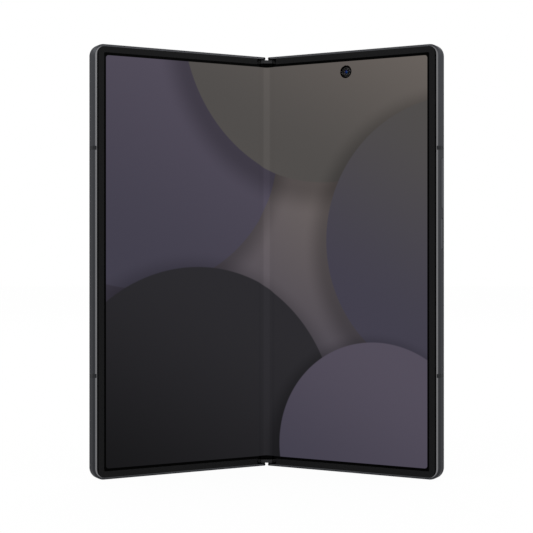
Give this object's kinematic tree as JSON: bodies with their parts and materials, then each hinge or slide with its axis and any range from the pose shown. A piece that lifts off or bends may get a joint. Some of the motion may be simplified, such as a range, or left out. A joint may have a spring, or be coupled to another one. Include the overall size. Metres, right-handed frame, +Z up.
{
  "type": "foldable smartphone",
  "caption": "Book-style folding phone with a geared spine hinge, a folding inner display, an outer cover display, raised rear cameras and side keys, standing half open.",
  "frame": {"origin": "middle of the footprint, on the plane of the bottom edges that the phone stands on", "axes": "+Z up along the phone's height and along every fold axis, +Y to the back (the spine's side), the inner display faces -Y, +X towards the half with the keys"},
  "size_m": [0.1292, 0.0373, 0.1584],
  "materials": {
    "frame_metal": "dark graphite anodised, fine bead-blasted, bright front chamfer",
    "spine_metal": "dark graphite anodised, polished",
    "antenna_plastic": "moulded insert, matte",
    "bezel_plastic": "fine matte black moulding",
    "screen_film": "glossy polymer film over a lit panel",
    "cover_pane": "polished strengthened glass, black behind",
    "rear_pane": "frosted strengthened glass, graphite behind",
    "island_metal": "anodised, fine satin",
    "ring_metal": "turned and polished rim",
    "lens_glass": "polished, coated",
    "lens_black": "black anodised barrel",
    "flash_plastic": "ribbed diffuser",
    "steel": "stamped and turned stainless steel",
    "hinge_metal": "sintered steel, smooth",
    "key_metal": "anodised as the frame",
    "battery_foil": "laminated pouch",
    "board": "glass-fibre circuit board",
    "shield_metal": "tinned steel can",
    "copper_coil": "flat copper winding on film",
    "speaker_plastic": "moulded housing",
    "magnet": "nickel-plated magnet",
    "contact_plastic": "moulded insert with contacts"
  },
  "bodies": {
    "hinge_spine": {"spine_cover": "spine_metal", "spine_end_caps": "spine_metal", "hinge_brackets": "hinge_metal", "gear_pins": "steel", "friction_washers": "steel", "spine_screws": "steel", "inner_display_fold": "screen_film"},
    "left_half": {"left_frame": "frame_metal", "left_antenna_breaks": "antenna_plastic", "left_bezel": "bezel_plastic", "inner_display_left": "screen_film", "cover_glass": "cover_pane", "cover_display": "cover_pane", "cover_camera": "lens_black", "left_battery": "battery_foil", "sub_board": "board", "vibration_motor": "steel", "earpiece": "speaker_plastic", "sim_slot": "steel", "left_arc_rails": "hinge_metal", "left_rail_screws": "steel", "left_magnets": "magnet"},
    "right_half": {"right_frame": "frame_metal", "right_antenna_breaks": "antenna_plastic", "right_bezel": "bezel_plastic", "inner_display_right": "screen_film", "rear_glass": "rear_pane", "camera_island": "island_metal", "lens_rings": "ring_metal", "lens_glasses": "lens_glass", "rear_cameras": "lens_black", "flash_lens": "flash_plastic", "inner_camera": "lens_black", "inner_camera_window": "lens_glass", "right_battery": "battery_foil", "charging_coil": "copper_coil", "main_board": "board", "main_board_posts": "steel", "board_shields": "shield_metal", "loudspeaker": "speaker_plastic", "microphone": "speaker_plastic", "usb_c_shell": "steel", "usb_c_tongue": "contact_plastic", "key_switches": "board", "right_arc_rails": "hinge_metal", "right_rail_screws": "steel", "right_magnets": "magnet"},
    "left_arm": {"left_sync_arm": "hinge_metal"},
    "right_arm": {"right_sync_arm": "hinge_metal"},
    "left_idler": {"left_idler_gear": "hinge_metal"},
    "right_idler": {"right_idler_gear": "hinge_metal"},
    "left_wing": {"left_wing_plate": "steel"},
    "right_wing": {"right_wing_plate": "steel"},
    "tray": {"sim_tray": "frame_metal"},
    "rocker": {"volume_rocker": "key_metal"},
    "side_button": {"side_key": "key_metal"}
  },
  "joints": [
    {"name": "left_fold", "type": "hinge", "parent": "hinge_spine", "child": "left_half", "pos_m": [-0.00125, 0.01542, 0.0792], "axis": [0, 0, 1], "range_deg": [-28.3, 61.7], "deforming": ["inner_display_fold"]},
    {"name": "right_fold", "type": "hinge", "parent": "hinge_spine", "child": "right_half", "pos_m": [0.00125, 0.01542, 0.0792], "axis": [0, 0, -1], "range_deg": [-28.3, 61.7], "deforming": ["inner_display_fold"]},
    {"name": "left_arm_turn", "type": "hinge", "parent": "hinge_spine", "child": "left_arm", "pos_m": [-0.00195, 0.01632, 0.0792], "axis": [0, 0, 1], "range_deg": [-28.3, 61.7]},
    {"name": "right_arm_turn", "type": "hinge", "parent": "hinge_spine", "child": "right_arm", "pos_m": [0.00195, 0.01632, 0.0792], "axis": [0, 0, -1], "range_deg": [-28.3, 61.7]},
    {"name": "left_idler_turn", "type": "hinge", "parent": "hinge_spine", "child": "left_idler", "pos_m": [-0.00065, 0.01632, 0.0792], "axis": [0, 0, -1], "range_deg": [-28.3, 61.7]},
    {"name": "right_idler_turn", "type": "hinge", "parent": "hinge_spine", "child": "right_idler", "pos_m": [0.00065, 0.01632, 0.0792], "axis": [0, 0, 1], "range_deg": [-28.3, 61.7]},
    {"name": "left_wing_tilt", "type": "hinge", "parent": "left_half", "child": "left_wing", "pos_m": [-0.00771, 0.0117, 0.0792], "axis": [0, 0, 1], "range_deg": [-2.53, 5.49]},
    {"name": "right_wing_tilt", "type": "hinge", "parent": "right_half", "child": "right_wing", "pos_m": [0.00771, 0.0117, 0.0792], "axis": [0, 0, -1], "range_deg": [-2.53, 5.49]},
    {"name": "tray_slide", "type": "slide", "parent": "left_half", "child": "tray", "axis": [0, 0, 1], "range_m": [0, 0.014]},
    {"name": "rocker_rock", "type": "hinge", "parent": "right_half", "child": "rocker", "pos_m": [0.06154, -0.01573, 0.10775], "axis": [0.4741, 0.8805, 0], "range_deg": [-1.1, 1.1], "stiffness_Nm_per_rad": 0.6},
    {"name": "side_key_press", "type": "slide", "parent": "right_half", "child": "side_button", "axis": [-0.8805, 0.4741, 0], "range_m": [0, 0.0002], "stiffness_N_per_m": 8000}
  ],
  "couplings": [
    {"joint": "right_fold", "follows": "left_fold", "ratio": 1},
    {"joint": "left_arm_turn", "follows": "left_fold", "ratio": 1},
    {"joint": "right_arm_turn", "follows": "left_fold", "ratio": 1},
    {"joint": "left_idler_turn", "follows": "left_fold", "ratio": 1},
    {"joint": "right_idler_turn", "follows": "left_fold", "ratio": 1},
    {"joint": "left_wing_tilt", "follows": "left_fold", "ratio": 0.088889},
    {"joint": "right_wing_tilt", "follows": "left_fold", "ratio": 0.088889}
  ]
}
